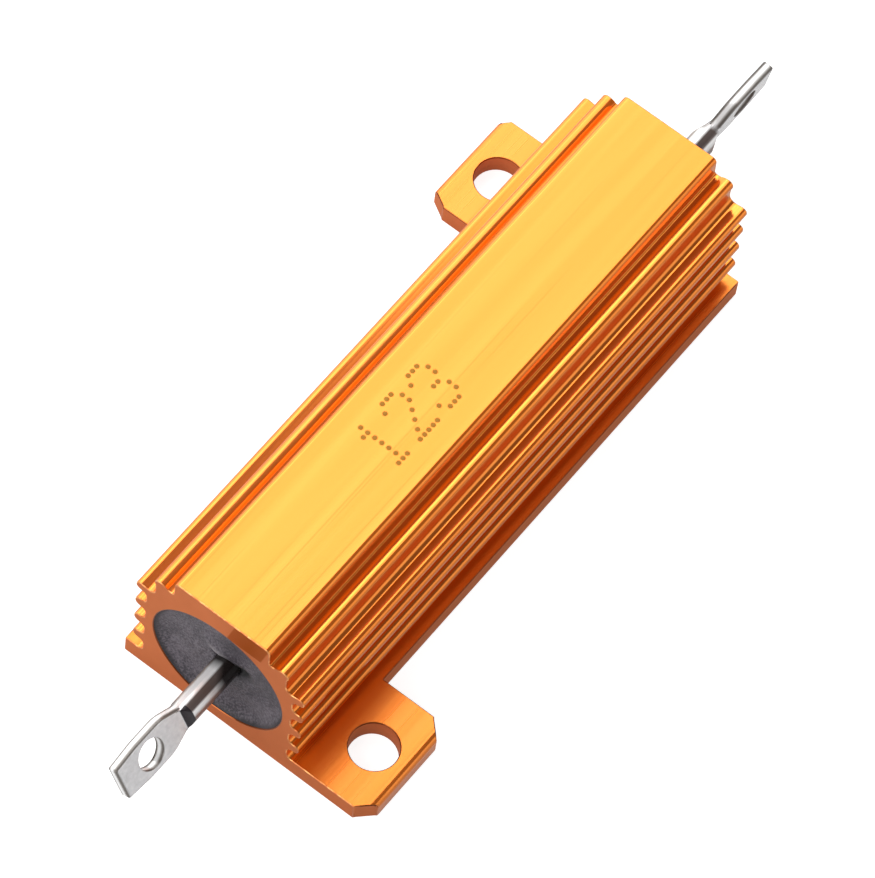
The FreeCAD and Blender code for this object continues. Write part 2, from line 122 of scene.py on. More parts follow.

# Along a terminal from the wound core's middle: the painted shade at its shank's root, the
# shank's painted reflections, its blade's bulged sides with their painted reflections, and
# the painted shade on its back from both ends
ROOT_SHADE = (27.2 * MM, 26.3 * MM)
ON_SHANK_FADE = (30.05 * MM, 29.75 * MM)
ON_NARROW_SIDES = (29.65 * MM, 30.25 * MM)
SHADE_FROM_SHANK = (29.2 * MM, 29.7 * MM)
SHADE_FROM_BLADE = (30.5 * MM, 29.9 * MM)
# How much sooner the painted shade at the root ends on top than where the compound has
# sunk at the side, and the angle in radians from the top to there
ROOT_SHADE_SOONER = 0.9 * MM
SUNK_SIDE = 0.7

# In front of a blade's middle: that painted shade, the sides between both faces, and the
# near terminal's slope, which stands out in front of the face and is painted as a dark
# reflection
SHADED_BACK = (-0.15 * MM, -0.6 * MM)
BETWEEN_FACES = (BLADE_FACE - 0.005 * MM, BLADE_FACE - 0.015 * MM)
PAST_FACE = (BLADE_FACE + 0.015 * MM, BLADE_FACE + 0.045 * MM)
# Where that slope begins along the resistor
SLOPE_START = (-28.8 * MM, -28.84 * MM)

# Painted reflections across a blade's narrow sides, a bright band with darker edges: how
# far from its back (-1) to its face (1), and the tone there
SIDE_REFLECTIONS = [
    (-1.0, "#38322D"), (-0.68, "#57504A"), (-0.5, "#C4BFBB"), (-0.38, "#FFFFFF"),
    (0.1, "#FFFFFF"), (0.36, "#B0ACA8"), (0.58, "#716B66"), (0.85, "#716B66"),
    (1.0, "#B4B0AD"),
]

# Painted reflections round a shank, bright bands with dark between: degrees from its top
# towards -Y, and the tone there
SHANK_REFLECTIONS = [
    (-75, "#8F847C"), (-50, "#A69A92"), (-36, "#FFFFFF"), (-4, "#FFFFFF"),
    (5, "#685C58"), (36, "#6C605C"), (44, "#FFFFFF"), (58, "#FFFFFF"),
    (70, "#A8968F"), (105, "#8C7A74"),
]

# Filling: it lies round the wound core, whose axis is off the bore's
CORE_DRIFT = 0.26 * MM
CORE_OFFSET = 0.75 * MM
SHANK_RADIUS = 1.0 * MM
HEAD_RADIUS = 2.0 * MM
CAP_RADIUS = 3.0 * MM
WINDING_ROOM_RADIUS = 3.34 * MM
HEAD_END = 19.4 * MM
CAP_END = 18.6 * MM
WINDING_END = 14.7 * MM
# Rings from the wall in to the shank, which crowd towards the wall by this power,
# and steps round
FILLING_RINGS = 30
FILLING_CROWDING = 1.4
FILLING_STEPS = 128

# Where the filling's end stands proud or has sunk, seen from outside with the shank
# in the middle: how far to the left, up, and out, and its spread across and up
END_RELIEF = [
    (0.75 * MM, 1.85 * MM, 0.40 * MM, 1.05 * MM, 0.75 * MM),
    (-1.35 * MM, 0.30 * MM, -0.45 * MM, 0.60 * MM, 0.60 * MM),
    (0.85 * MM, 0.90 * MM, -0.60 * MM, 0.30 * MM, 0.32 * MM),
    (-2.90 * MM, -1.10 * MM, -0.16 * MM, 1.20 * MM, 1.20 * MM),
    (2.60 * MM, -0.60 * MM, 0.10 * MM, 1.40 * MM, 1.60 * MM),
]
# Painted light and shade on it: a painted highlight over the mound, painted shade in the
# hollows, and darker and lighter patches: how far to the left and up, its spread across and
# up, the tone and its share
END_LIGHT_AND_SHADE = [
    (0.70 * MM, 1.45 * MM, 0.80 * MM, 0.60 * MM, "#928C90", 0.75),
    (-0.50 * MM, 3.10 * MM, 1.60 * MM, 0.90 * MM, "#383338", 0.45),
    (-3.40 * MM, 1.30 * MM, 1.60 * MM, 2.20 * MM, "#383338", 0.50),
    (-3.30 * MM, -2.90 * MM, 1.50 * MM, 1.20 * MM, "#7A737A", 0.30),
    (-1.15 * MM, 0.35 * MM, 1.10 * MM, 1.00 * MM, "#060506", 1.00),
    (0.95 * MM, 0.85 * MM, 0.42 * MM, 0.45 * MM, "#141014", 0.90),
]
# Its fine unevenness in two layers: how high the bumps are and how far apart
END_BUMPS = [(0.05 * MM, 1.1 * MM), (0.02 * MM, 0.35 * MM)]
# How far from the bore's wall the relief has its full height
RELIEF_FADE = 0.8 * MM
# The same end without relief, from the bore's wall in to the shank: the share of the
# way in, and how far inside the housing's end it lies
END_SECTION = [
    (0.00, 0.08 * MM), (0.02, 0.18 * MM), (0.06, 0.36 * MM), (0.14, 0.56 * MM),
    (0.30, 0.70 * MM), (0.60, 0.72 * MM), (0.85, 0.66 * MM), (1.00, 0.70 * MM),
]

# Mark on the top land: generic digits printed in dots
MARK_DIGITS = "123"
MARK_START = -8.67 * MM
MARK_TOP = 1.87 * MM
DOT_PITCH_ALONG = 0.476 * MM
DOT_PITCH_ACROSS = 0.607 * MM
DOT_RADIUS = 0.21 * MM
DOT_TOP_RADIUS = DOT_RADIUS * 0.9
DOT_HEIGHT = 0.006 * MM
DOT_SIDES = 20
# Dots from the start of one digit to the start of the next
DIGIT_ADVANCE = 6

DOT_DIGITS = {
    "1": ("..#..", ".##..", "..#..", "..#..", "..#..", "..#..", ".###."),
    "2": (".###.", "#...#", "....#", "...#.", "..#..", ".#...", "#####"),
    "3": (".###.", "#...#", "....#", "..##.", "....#", "#...#", ".###."),
}

# Studio, in metres: a white paper floor, its grey under the lights, and the glow that
# makes it white to the camera and lighter in the metal
FLOOR_HALF = 0.9
FLOOR_GREY = (0.45, 0.45, 0.45, 1)
GLOW_TO_CAMERA = 0.87
GLOW_TO_METAL = 0.35
# White fill from all round, and soft lights round the resistor: direction, width,
# height and strength
FILL_STRENGTH = 0.17
SOFTBOX_DISTANCE = 0.7
SOFTBOXES = {
    "overhead_softbox": ((0.415, 0.319, 0.852), 0.6, 0.31, 3.35),
    "back_softbox": ((0.415, 0.788, 0.455), 0.6, 0.71, 2.6),
    "side_softbox": ((0.415, -0.88, 0.22), 0.5, 0.5, 1.3),
    "front_softbox": ((-0.77, 0.25, 0.58), 0.6, 0.6, 3.4),
}

# Sockets of a Mix node: its factor, then the inputs and the output for two colours
# and for two vectors
FACTOR = 0
COLOUR_A, COLOUR_B, COLOUR_OUT = 6, 7, 2
VECTOR_A, VECTOR_B, VECTOR_OUT = 4, 5, 1


def colour(hex_code):
    """Linear RGBA from an sRGB hex colour."""
    channels = [int(hex_code[i:i + 2], 16) / 255 for i in (1, 3, 5)]
    linear = [c / 12.92 if c <= 0.04045 else ((c + 0.055) / 1.055) ** 2.4 for c in channels]
    return linear + [1]


def add_node(tree, kind, inputs=(), **settings):
    """Adds a shader node; an input takes a value, or the socket that is linked to it."""
    node = tree.nodes.new(kind)
    for name, value in settings.items():
        setattr(node, name, value)
    for key, value in dict(inputs).items():
        if isinstance(value, bpy.types.NodeSocket):
            tree.links.new(value, node.inputs[key])
        else:
            node.inputs[key].default_value = value
    return node


def new_material(name):
    """A material, and its node tree with nothing in it."""
    material = bpy.data.materials.new(name)
    material.use_nodes = True
    material.node_tree.nodes.clear()
    return material, material.node_tree


def grain(tree, length, width, detail=2.0):
    """Noise drawn out along X: each grain is so long and so wide, in metres."""
    place = add_node(tree, "ShaderNodeTexCoord").outputs["Object"]
    drawn = add_node(tree, "ShaderNodeMapping", {
        "Vector": place,
        "Scale": (1 / length, 1 / width, 1 / width),
    })
    return add_node(tree, "ShaderNodeTexNoise", {
        "Vector": drawn.outputs["Vector"],
        "Scale": 1.0,
        "Detail": detail,
    }).outputs["Fac"]


def where(tree, *fades):
    """A mask that holds where every value is past its fade."""
    masks = [
        add_node(tree, "ShaderNodeMapRange", {
            "Value": value, "From Min": start, "From Max": full,
        }).outputs["Result"]
        for value, (start, full) in fades
    ]
    held = masks[0]
    for mask in masks[1:]:
        held = add_node(tree, "ShaderNodeMath", {
            0: held, 1: mask,
        }, operation="MULTIPLY").outputs["Value"]
    return held


def about_bore(tree, place):
    """A place across the bore, measured from its axis, and its distance from that."""
    across = add_node(tree, "ShaderNodeMapping", {
        "Vector": place, "Location": (0, 0, -BORE_HEIGHT), "Scale": (0, 1, 1),
    }).outputs["Vector"]
    return across, add_node(tree, "ShaderNodeVectorMath", {
        0: across,
    }, operation="LENGTH").outputs["Value"]


def set_tones(ramp, tones):
    """Spreads tones along a ramp node, from the first one's place to the last one's."""
    first, last = tones[0][0], tones[-1][0]
    stops = ramp.color_ramp.elements
    stops[0].color = colour(tones[0][1])
    stops[1].color = colour(tones[-1][1])
    for place, tone in tones[1:-1]:
        stops.new((place - first) / (last - first)).color = colour(tone)


def anodised_extrusion():
    # Gold-orange anodised aluminium as extruded: glossy metal seen through a dyed
    # oxide, with die lines along the extrusion that draw its highlights out. The
    # oxide also scatters light, which gives the deep red-orange of the dark sides.
    # The die lines and scratches are drawn coarser than they are, so that they show.
    material, tree = new_material("anodised_aluminium_extruded")
    die_lines = grain(tree, 90 * MM, 0.22 * MM, 1.0)
    tone = grain(tree, 60 * MM, 0.9 * MM, 1.0)
    scratches = grain(tree, 26 * MM, 0.16 * MM, 0.0)
    tint = add_node(tree, "ShaderNodeMapRange", {
        "Value": tone, "From Min": 0.35, "From Max": 0.65,
    }).outputs["Result"]
    dye = add_node(tree, "ShaderNodeMix", {
        FACTOR: tint, COLOUR_A: colour("#DE8030"), COLOUR_B: colour("#E48938"),
    }, data_type="RGBA").outputs[COLOUR_OUT]
    scratched = add_node(tree, "ShaderNodeMapRange", {
        "Value": scratches, "From Min": 0.74, "From Max": 0.80, "To Max": 0.4,
    }).outputs["Result"]
    shown = add_node(tree, "ShaderNodeMix", {
        FACTOR: scratched, COLOUR_A: dye, COLOUR_B: colour("#B8601C"),
    }, data_type="RGBA").outputs[COLOUR_OUT]
    place = add_node(tree, "ShaderNodeTexCoord").outputs["Object"]
    height = add_node(tree, "ShaderNodeSeparateXYZ", {"Vector": place}).outputs["Z"]
    on_ear = add_node(tree, "ShaderNodeMapRange", {
        "Value": height,
        "From Min": EAR_SKIN[0], "From Max": EAR_SKIN[1],
        "To Max": EAR_ROUGHNESS,
    }).outputs["Result"]
    glossy = add_node(tree, "ShaderNodeMapRange", {
        "Value": die_lines,
        "From Min": 0.3, "From Max": 0.7,
        "To Min": 0.09, "To Max": 0.15,
    }).outputs["Result"]
    rough = add_node(tree, "ShaderNodeMath", {0: glossy, 1: on_ear}).outputs["Value"]
    relief = add_node(tree, "ShaderNodeBump", {
        "Height": die_lines, "Distance": 0.003 * MM, "Strength": 1.0,
    }).outputs["Normal"]
    metal = add_node(tree, "ShaderNodeBsdfPrincipled", {
        "Base Color": shown,
        "Metallic": 1.0,
        "Roughness": rough,
        "Normal": relief,
    })
    oxide = add_node(tree, "ShaderNodeBsdfPrincipled", {
        "Base Color": colour("#F8740E"),
        "Roughness": 0.35,
        "Normal": relief,
    })
    skin = add_node(tree, "ShaderNodeMixShader", {
        0: OXIDE_SHARE, 1: metal.outputs["BSDF"], 2: oxide.outputs["BSDF"],
    })
    add_node(tree, "ShaderNodeOutputMaterial", {"Surface": skin.outputs["Shader"]})
    return material


def anodised_cut():
    # Anodised aluminium where it was sawn, milled or drilled before dyeing: matter,
    # pinker than the extruded skin, with a fine etched grain
    material, tree = new_material("anodised_aluminium_cut")
    place = add_node(tree, "ShaderNodeTexCoord").outputs["Object"]
    etch = add_node(tree, "ShaderNodeTexNoise", {
        "Vector": place, "Scale": 1 / (0.14 * MM), "Detail": 3.0,
    }).outputs["Fac"]
    cloud = add_node(tree, "ShaderNodeTexNoise", {
        "Vector": place, "Scale": 1 / (2.2 * MM), "Detail": 2.0,
    }).outputs["Fac"]
    dye = add_node(tree, "ShaderNodeMix", {
        FACTOR: cloud, COLOUR_A: colour("#CB7042"), COLOUR_B: colour("#D77A4B"),
    }, data_type="RGBA").outputs[COLOUR_OUT]
    # One patch of the near end is darker, between two crisp slanting edges
    apart = add_node(tree, "ShaderNodeSeparateXYZ", {"Vector": place}).outputs
    slanted = add_node(tree, "ShaderNodeVectorMath", {
        0: place, 1: PATCH_SLANT,
    }, operation="DOT_PRODUCT").outputs["Value"]
    patch = where(
        tree, (slanted, PATCH_LEFT), (slanted, PATCH_RIGHT),
        (apart["X"], PATCH_FACE), (apart["Z"], PATCH_FOOT))
    shown = add_node(tree, "ShaderNodeMix", {
        FACTOR: patch, COLOUR_A: dye, COLOUR_B: colour("#AC4E00"),
    }, data_type="RGBA").outputs[COLOUR_OUT]
    relief = add_node(tree, "ShaderNodeBump", {
        "Height": etch, "Distance": 0.004 * MM,
    }).outputs["Normal"]
    shader = add_node(tree, "ShaderNodeBsdfPrincipled", {
        "Base Color": shown,
        "Metallic": 0.55,
        "Roughness": 0.45,
        "Specular Tint": colour("#F4C49A"),
        "Normal": relief,
    })
    add_node(tree, "ShaderNodeOutputMaterial", {"Surface": shader.outputs["BSDF"]})
    return material


def edge_wear_and_light():
    # The housing's broken edges. Round the sawn ends they are pale orange in patches,
    # partly wear of the dyed oxide and partly a painted highlight. The flange's edges look
    # like its cut faces, and the bore's rims and the edges along the fins are painted
    # brown, a dark edge line of painted shade.
    material, tree = new_material("anodised_aluminium_worn_edge")
    place = add_node(tree, "ShaderNodeTexCoord").outputs["Object"]
    patch_noise = add_node(tree, "ShaderNodeTexNoise", {
        "Vector": place, "Scale": 1 / (0.5 * MM), "Detail": 3.0,
    }).outputs["Fac"]
    highlight_patches = add_node(tree, "ShaderNodeMapRange", {
        "Value": patch_noise, "From Min": 0.44, "From Max": 0.60,
    }).outputs["Result"]
    from_bore = about_bore(tree, place)[1]
    apart = add_node(tree, "ShaderNodeSeparateXYZ", {"Vector": place}).outputs
    from_middle = add_node(tree, "ShaderNodeMath", {
        0: apart["X"],
    }, operation="ABSOLUTE").outputs["Value"]
    height = (apart["Z"], ABOVE_FLANGE_EDGE)
    lit_and_worn = where(tree, (from_bore, PAST_RIM), (from_middle, AT_SAWN_END), height)
    above = where(tree, height)
    # Pale orange: wear and a painted highlight. Brown above the flange's edge: painted
    # shade.
    pale = add_node(tree, "ShaderNodeMix", {
        FACTOR: highlight_patches, COLOUR_A: colour("#D87E48"), COLOUR_B: colour("#FFB872"),
    }, data_type="RGBA").outputs[COLOUR_OUT]
    edge_tone_and_shade = add_node(tree, "ShaderNodeMix", {
        FACTOR: above, COLOUR_A: colour("#CF7440"), COLOUR_B: colour("#8E4A22"),
    }, data_type="RGBA").outputs[COLOUR_OUT]
    dye = add_node(tree, "ShaderNodeMix", {
        FACTOR: lit_and_worn, COLOUR_A: edge_tone_and_shade, COLOUR_B: pale,
    }, data_type="RGBA").outputs[COLOUR_OUT]
    shader = add_node(tree, "ShaderNodeBsdfPrincipled", {
        "Base Color": dye, "Metallic": 0.8, "Roughness": 0.32,
    })
    add_node(tree, "ShaderNodeOutputMaterial", {"Surface": shader.outputs["BSDF"]})
    return material


def moulding_compound():
    # Silicone moulding compound with mineral filler: dark grey and dull, speckled where
    # the filling's grains come through, and darkened by painted shade along the bore's
    # wall.
    # The grains are drawn coarser than they are, so that they show.
    material, tree = new_material("filled_moulding_compound")
    place = add_node(tree, "ShaderNodeTexCoord").outputs["Object"]
    speckle = add_node(tree, "ShaderNodeTexNoise", {
        "Vector": place, "Scale": 1 / (0.17 * MM), "Detail": 2.0, "Roughness": 0.6,
    }).outputs["Fac"]
    cloud = add_node(tree, "ShaderNodeTexNoise", {
        "Vector": place, "Scale": 1 / (1.8 * MM), "Detail": 1.0,
    }).outputs["Fac"]
    both = add_node(tree, "ShaderNodeMath", {
        0: cloud, 1: 0.35, 2: speckle,
    }, operation="MULTIPLY_ADD").outputs["Value"]
    speck = add_node(tree, "ShaderNodeMapRange", {
        "Value": both, "From Min": 0.54, "From Max": 0.82,
    }).outputs["Result"]
    body = add_node(tree, "ShaderNodeMix", {
        FACTOR: speck, COLOUR_A: colour("#38333A"), COLOUR_B: colour("#6C656D"),
    }, data_type="RGBA").outputs[COLOUR_OUT]
    centred, from_bore = about_bore(tree, place)
    uneven = add_node(tree, "ShaderNodeMath", {
        0: cloud, 1: 0.3 * MM, 2: from_bore,
    }, operation="MULTIPLY_ADD").outputs["Value"]
    # Painted shade along the gap at the bore's wall
    at_wall = add_node(tree, "ShaderNodeMapRange", {
        "Value": uneven,
        "From Min": WALL_SHADE[0], "From Max": WALL_SHADE[1],
        "To Max": 0.85,
    }).outputs["Result"]
    wall_shaded = add_node(tree, "ShaderNodeMix", {
        FACTOR: at_wall, COLOUR_A: body, COLOUR_B: colour("#262226"),
    }, data_type="RGBA").outputs[COLOUR_OUT]
    # Seen from outside, each end gets a painted highlight where it stands proud over the
    # shank, and painted black shade in the hollows beside it
    outwards = add_node(tree, "ShaderNodeMath", {
        0: add_node(tree, "ShaderNodeSeparateXYZ", {"Vector": place}).outputs["X"],
    }, operation="SIGN").outputs["Value"]
    apart = add_node(tree, "ShaderNodeSeparateXYZ", {"Vector": centred}).outputs
    from_core = add_node(tree, "ShaderNodeMath", {
        0: apart["Y"], 1: CORE_DRIFT,
    }).outputs["Value"]
    rightwards = add_node(tree, "ShaderNodeMath", {
        0: from_core, 1: outwards,
    }, operation="MULTIPLY").outputs["Value"]
    seen = add_node(tree, "ShaderNodeCombineXYZ", {
        "X": rightwards, "Y": apart["Z"],
    }).outputs["Vector"]
    shown = wall_shaded
    for left, up, wide, tall, tone, most in END_LIGHT_AND_SHADE:
        away = add_node(tree, "ShaderNodeVectorMath", {
            0: add_node(tree, "ShaderNodeMapping", {
                "Vector": seen,
                "Location": (left / wide, -up / tall, 0),
                "Scale": (1 / wide, 1 / tall, 1),
            }).outputs["Vector"],
        }, operation="LENGTH").outputs["Value"]
        share = add_node(tree, "ShaderNodeMapRange", {
            "Value": away, "From Min": 1.25, "From Max": 0.45, "To Max": most,
        }).outputs["Result"]
        shown = add_node(tree, "ShaderNodeMix", {
            FACTOR: share, COLOUR_A: shown, COLOUR_B: colour(tone),
        }, data_type="RGBA").outputs[COLOUR_OUT]
    grains = add_node(tree, "ShaderNodeBump", {
        "Height": speckle, "Distance": 0.04 * MM, "Strength": 0.7,
    }).outputs["Normal"]
    shader = add_node(tree, "ShaderNodeBsdfPrincipled", {
        "Base Color": shown,
        "Roughness": 0.55,
        "Normal": grains,
    })
    add_node(tree, "ShaderNodeOutputMaterial", {"Surface": shader.outputs["BSDF"]})
    return material


def shank_light_and_shade(tree, apart, from_middle):
    """The tone of a round shank: a frosted dip of tin with painted reflections, two bright
    bands along it, and painted shade where it leaves the compound."""
    sideways = add_node(tree, "ShaderNodeMath", {
        0: apart["Y"], 1: -1.0,
    }, operation="MULTIPLY").outputs["Value"]
    angle = add_node(tree, "ShaderNodeMath", {
        0: sideways, 1: apart["Z"],
    }, operation="ARCTAN2").outputs["Value"]
    round_shank = add_node(tree, "ShaderNodeMapRange", {
        "Value": angle,
        "From Min": math.radians(SHANK_REFLECTIONS[0][0]),
        "From Max": math.radians(SHANK_REFLECTIONS[-1][0]),
    }).outputs["Result"]
    # Painted reflections: bright and dark bands round the shank
    tones = add_node(tree, "ShaderNodeValToRGB", {"Fac": round_shank})
    set_tones(tones, SHANK_REFLECTIONS)
    # The painted shade at the root reaches further along the side where the compound has
    # sunk
    clear = add_node(tree, "ShaderNodeMapRange", {
        "Value": angle, "From Max": SUNK_SIDE, "To Min": ROOT_SHADE_SOONER, "To Max": 0.0,
    }).outputs["Result"]
    reach = add_node(tree, "ShaderNodeMath", {0: from_middle, 1: clear}).outputs["Value"]
    root_shade = add_node(tree, "ShaderNodeMapRange", {
        "Value": reach, "From Min": ROOT_SHADE[0], "From Max": ROOT_SHADE[1], "To Max": 0.97,
    }).outputs["Result"]
    return add_node(tree, "ShaderNodeMix", {
        FACTOR: root_shade, COLOUR_A: tones.outputs["Color"], COLOUR_B: colour("#1E1714"),
    }, data_type="RGBA").outputs[COLOUR_OUT]


def narrow_side_light(tree, forward, from_middle):
    """The tone of a blade's narrow sides, which bulged under the press: a painted highlight
    along the middle and painted darker reflections along both edges. The second value is
    the mask of where they are."""
    tones = add_node(tree, "ShaderNodeValToRGB", {
        "Fac": add_node(tree, "ShaderNodeMapRange", {
            "Value": forward, "From Min": -BLADE_FACE, "From Max": BLADE_FACE,
        }).outputs["Result"],
    })
    set_tones(tones, SIDE_REFLECTIONS)
    off_middle = add_node(tree, "ShaderNodeMath", {
        0: forward,
    }, operation="ABSOLUTE").outputs["Value"]
    on_side = where(tree, (off_middle, BETWEEN_FACES), (from_middle, ON_NARROW_SIDES))
    return tones.outputs["Color"], on_side


def press_shade_and_reflection(tree, tin, forward, apart, from_middle):
    """Tin with painted shade and reflection: a grey painted shade on the back where the
    shank was drawn out to the blade, and a nearly black painted reflection on the near
    terminal's slope."""
    shoulder_shade = where(
        tree, (from_middle, SHADE_FROM_SHANK), (from_middle, SHADE_FROM_BLADE),
        (forward, SHADED_BACK))
    shaded = add_node(tree, "ShaderNodeMix", {
        FACTOR: shoulder_shade, COLOUR_A: tin, COLOUR_B: colour("#6E625A"),
    }, data_type="RGBA").outputs[COLOUR_OUT]
    dark_slope_reflection = where(tree, (forward, PAST_FACE), (apart["X"], SLOPE_START))
    return add_node(tree, "ShaderNodeMix", {
        FACTOR: dark_slope_reflection, COLOUR_A: shaded, COLOUR_B: colour("#332E32"),
    }, data_type="RGBA").outputs[COLOUR_OUT]


def tinned_steel():
    # Tinned steel wire pressed flat: bright silvery metal, brushed along its length and
    # slightly mottled where the press bruised the tin. Where the dip froze frosted on the
    # shank, and along the blade's bulged sides, it is duller than on the pressed faces.
    # The brushing is drawn coarser than it is, so that it shows.
    material, tree = new_material("tinned_terminal_metal")
    brushing = grain(tree, 3.0 * MM, 0.09 * MM, 3.0)
    place = add_node(tree, "ShaderNodeTexCoord").outputs["Object"]
    mottle = add_node(tree, "ShaderNodeTexNoise", {
        "Vector": place, "Scale": 1 / (0.45 * MM), "Detail": 3.0,
    }).outputs["Fac"]
    tin = add_node(tree, "ShaderNodeMix", {
        FACTOR: mottle, COLOUR_A: colour("#CCCACD"), COLOUR_B: colour("#FFFFFF"),
    }, data_type="RGBA").outputs[COLOUR_OUT]

    # Places on a terminal, from the shank's axis and from the wound core's middle
    centred = add_node(tree, "ShaderNodeMapping", {
        "Vector": place, "Location": (0, CORE_DRIFT, -BORE_HEIGHT),
    }).outputs["Vector"]
    apart = add_node(tree, "ShaderNodeSeparateXYZ", {"Vector": centred}).outputs
    along = add_node(tree, "ShaderNodeMath", {
        0: apart["X"], 1: -CORE_OFFSET,
    }).outputs["Value"]
    from_middle = add_node(tree, "ShaderNodeMath", {
        0: along,
    }, operation="ABSOLUTE").outputs["Value"]
    # Each blade is turned its own way about that axis; forward is towards its face
    facing = add_node(tree, "ShaderNodeMix", {
        FACTOR: add_node(tree, "ShaderNodeMapRange", {
            "Value": apart["X"], "From Min": -MM, "From Max": MM,
        }).outputs["Result"],
        VECTOR_A: BLADE_FACING,
        VECTOR_B: FAR_BLADE_FACING,
    }, data_type="VECTOR").outputs[VECTOR_OUT]
    forward = add_node(tree, "ShaderNodeVectorMath", {
        0: centred, 1: facing,
    }, operation="DOT_PRODUCT").outputs["Value"]

    # The shank takes its painted reflections and painted shade, and the blade's narrow
    # sides theirs
    on_shank = where(tree, (from_middle, ON_SHANK_FADE))
    shank_lit = add_node(tree, "ShaderNodeMix", {
        FACTOR: on_shank, COLOUR_A: tin, COLOUR_B: shank_light_and_shade(tree, apart, from_middle),
    }, data_type="RGBA").outputs[COLOUR_OUT]
    side_reflections, on_side = narrow_side_light(tree, forward, from_middle)
    sided = add_node(tree, "ShaderNodeMix", {
        FACTOR: on_side, COLOUR_A: shank_lit, COLOUR_B: side_reflections,
    }, data_type="RGBA").outputs[COLOUR_OUT]
    dull = add_node(tree, "ShaderNodeMath", {
        0: on_shank, 1: on_side,
    }, operation="MAXIMUM").outputs["Value"]
    metallic = add_node(tree, "ShaderNodeMapRange", {
        "Value": dull, "To Min": 0.6, "To Max": 0.2,
    }).outputs["Result"]
    rough = add_node(tree, "ShaderNodeMapRange", {
        "Value": brushing, "To Min": 0.12, "To Max": 0.30,
    }).outputs["Result"]
    relief = add_node(tree, "ShaderNodeBump", {
        "Height": brushing, "Distance": 0.009 * MM,
    }).outputs["Normal"]
    shader = add_node(tree, "ShaderNodeBsdfPrincipled", {
        "Base Color": press_shade_and_reflection(tree, sided, forward, apart, from_middle),
        "Metallic": metallic,
        "Roughness": rough,
        "Normal": relief,
    })
    add_node(tree, "ShaderNodeOutputMaterial", {"Surface": shader.outputs["BSDF"]})
    return material


def marking_ink():
    # Brown marking ink laid down in small dots by a jet printer
    material, tree = new_material("marking_ink")
    place = add_node(tree, "ShaderNodeTexCoord").outputs["Object"]
    flow = add_node(tree, "ShaderNodeTexNoise", {
        "Vector": place, "Scale": 1 / (0.35 * MM), "Detail": 2.0,
    }).outputs["Fac"]
    ink = add_node(tree, "ShaderNodeMix", {
        FACTOR: flow, COLOUR_A: colour("#A66C24"), COLOUR_B: colour("#BE8634"),
    }, data_type="RGBA").outputs[COLOUR_OUT]
    shader = add_node(tree, "ShaderNodeBsdfPrincipled", {
        "Base Color": ink,
        "Roughness": 0.6,
        "Specular IOR Level": 0.15,
    })
    add_node(tree, "ShaderNodeOutputMaterial", {"Surface": shader.outputs["BSDF"]})
    return material


def ceramic():
    # Steatite ceramic, unglazed: cream white, dull, faintly grainy
    material, tree = new_material("unglazed_steatite")
    place = add_node(tree, "ShaderNodeTexCoord").outputs["Object"]
    grit = add_node(tree, "ShaderNodeTexNoise", {
        "Vector": place, "Scale": 1 / (0.3 * MM), "Detail": 2.0,
    }).outputs["Fac"]
    body = add_node(tree, "ShaderNodeMix", {
        FACTOR: grit, COLOUR_A: colour("#E4DFD2"), COLOUR_B: colour("#F0ECE2"),
    }, data_type="RGBA").outputs[COLOUR_OUT]
    shader = add_node(tree, "ShaderNodeBsdfPrincipled", {
        "Base Color": body, "Roughness": 0.7,
    })
    add_node(tree, "ShaderNodeOutputMaterial", {"Surface": shader.outputs["BSDF"]})
    return material


def satin_metal(name, dark, light):
    # Rolled or pressed metal with a satin skin: fine lines along the strip
    material, tree = new_material(name)
    rolling = grain(tree, 2.0 * MM, 0.1 * MM)
    metal = add_node(tree, "ShaderNodeMix", {
        FACTOR: rolling, COLOUR_A: colour(dark), COLOUR_B: colour(light),
    }, data_type="RGBA").outputs[COLOUR_OUT]
    shader = add_node(tree, "ShaderNodeBsdfPrincipled", {
        "Base Color": metal, "Metallic": 1.0, "Roughness": 0.35,
    })
    add_node(tree, "ShaderNodeOutputMaterial", {"Surface": shader.outputs["BSDF"]})
    return material


def put_in_scene(name, data):
    """An object for a mesh, a light or a camera, linked to the scene."""
    item = bpy.data.objects.new(name, data)
    bpy.context.scene.collection.objects.link(item)
    return item


def mesh_from(name, shape, materials):
    """A smooth-shaded mesh of a finished shape, which is freed."""
    mesh = bpy.data.meshes.new(name)
    shape.to_mesh(mesh)
    shape.free()
    for polygon in mesh.polygons:
        polygon.use_smooth = True
    for material in materials:
        mesh.materials.append(material)
    return mesh


def add_piece(name, shape, slot, *materials):
    """Puts a finished shape into the scene as a piece that rides on the resistor."""
    piece = put_in_scene(name, mesh_from(name, shape, materials))
    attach(piece, "root")
    return piece


def joined_copy(node):
    """A CAD node's mesh with its loose triangles joined and its flat faces made whole."""
    shape = bmesh.new()
    shape.from_mesh(nodes[node].data)
    bmesh.ops.remove_doubles(shape, verts=shape.verts, dist=SAME_CORNER)
    bmesh.ops.dissolve_limit(
        shape, angle_limit=SAME_FLAT, verts=shape.verts, edges=shape.edges)
    return shape


def break_edges(piece, width, sharp, segments):
    """Breaks a piece's sharp edges and keeps its flat faces flat to the eye."""
    edges = piece.modifiers.new("broken_edges", "BEVEL")
    edges.width = width
    edges.segments = segments
    edges.limit_method = "ANGLE"
    edges.angle_limit = sharp
    edges.use_clamp_overlap = False
    flats = piece.modifiers.new("flat_faces", "WEIGHTED_NORMAL")
    flats.weight = LARGE_FACE_WEIGHT
    flats.keep_sharp = False
    return edges


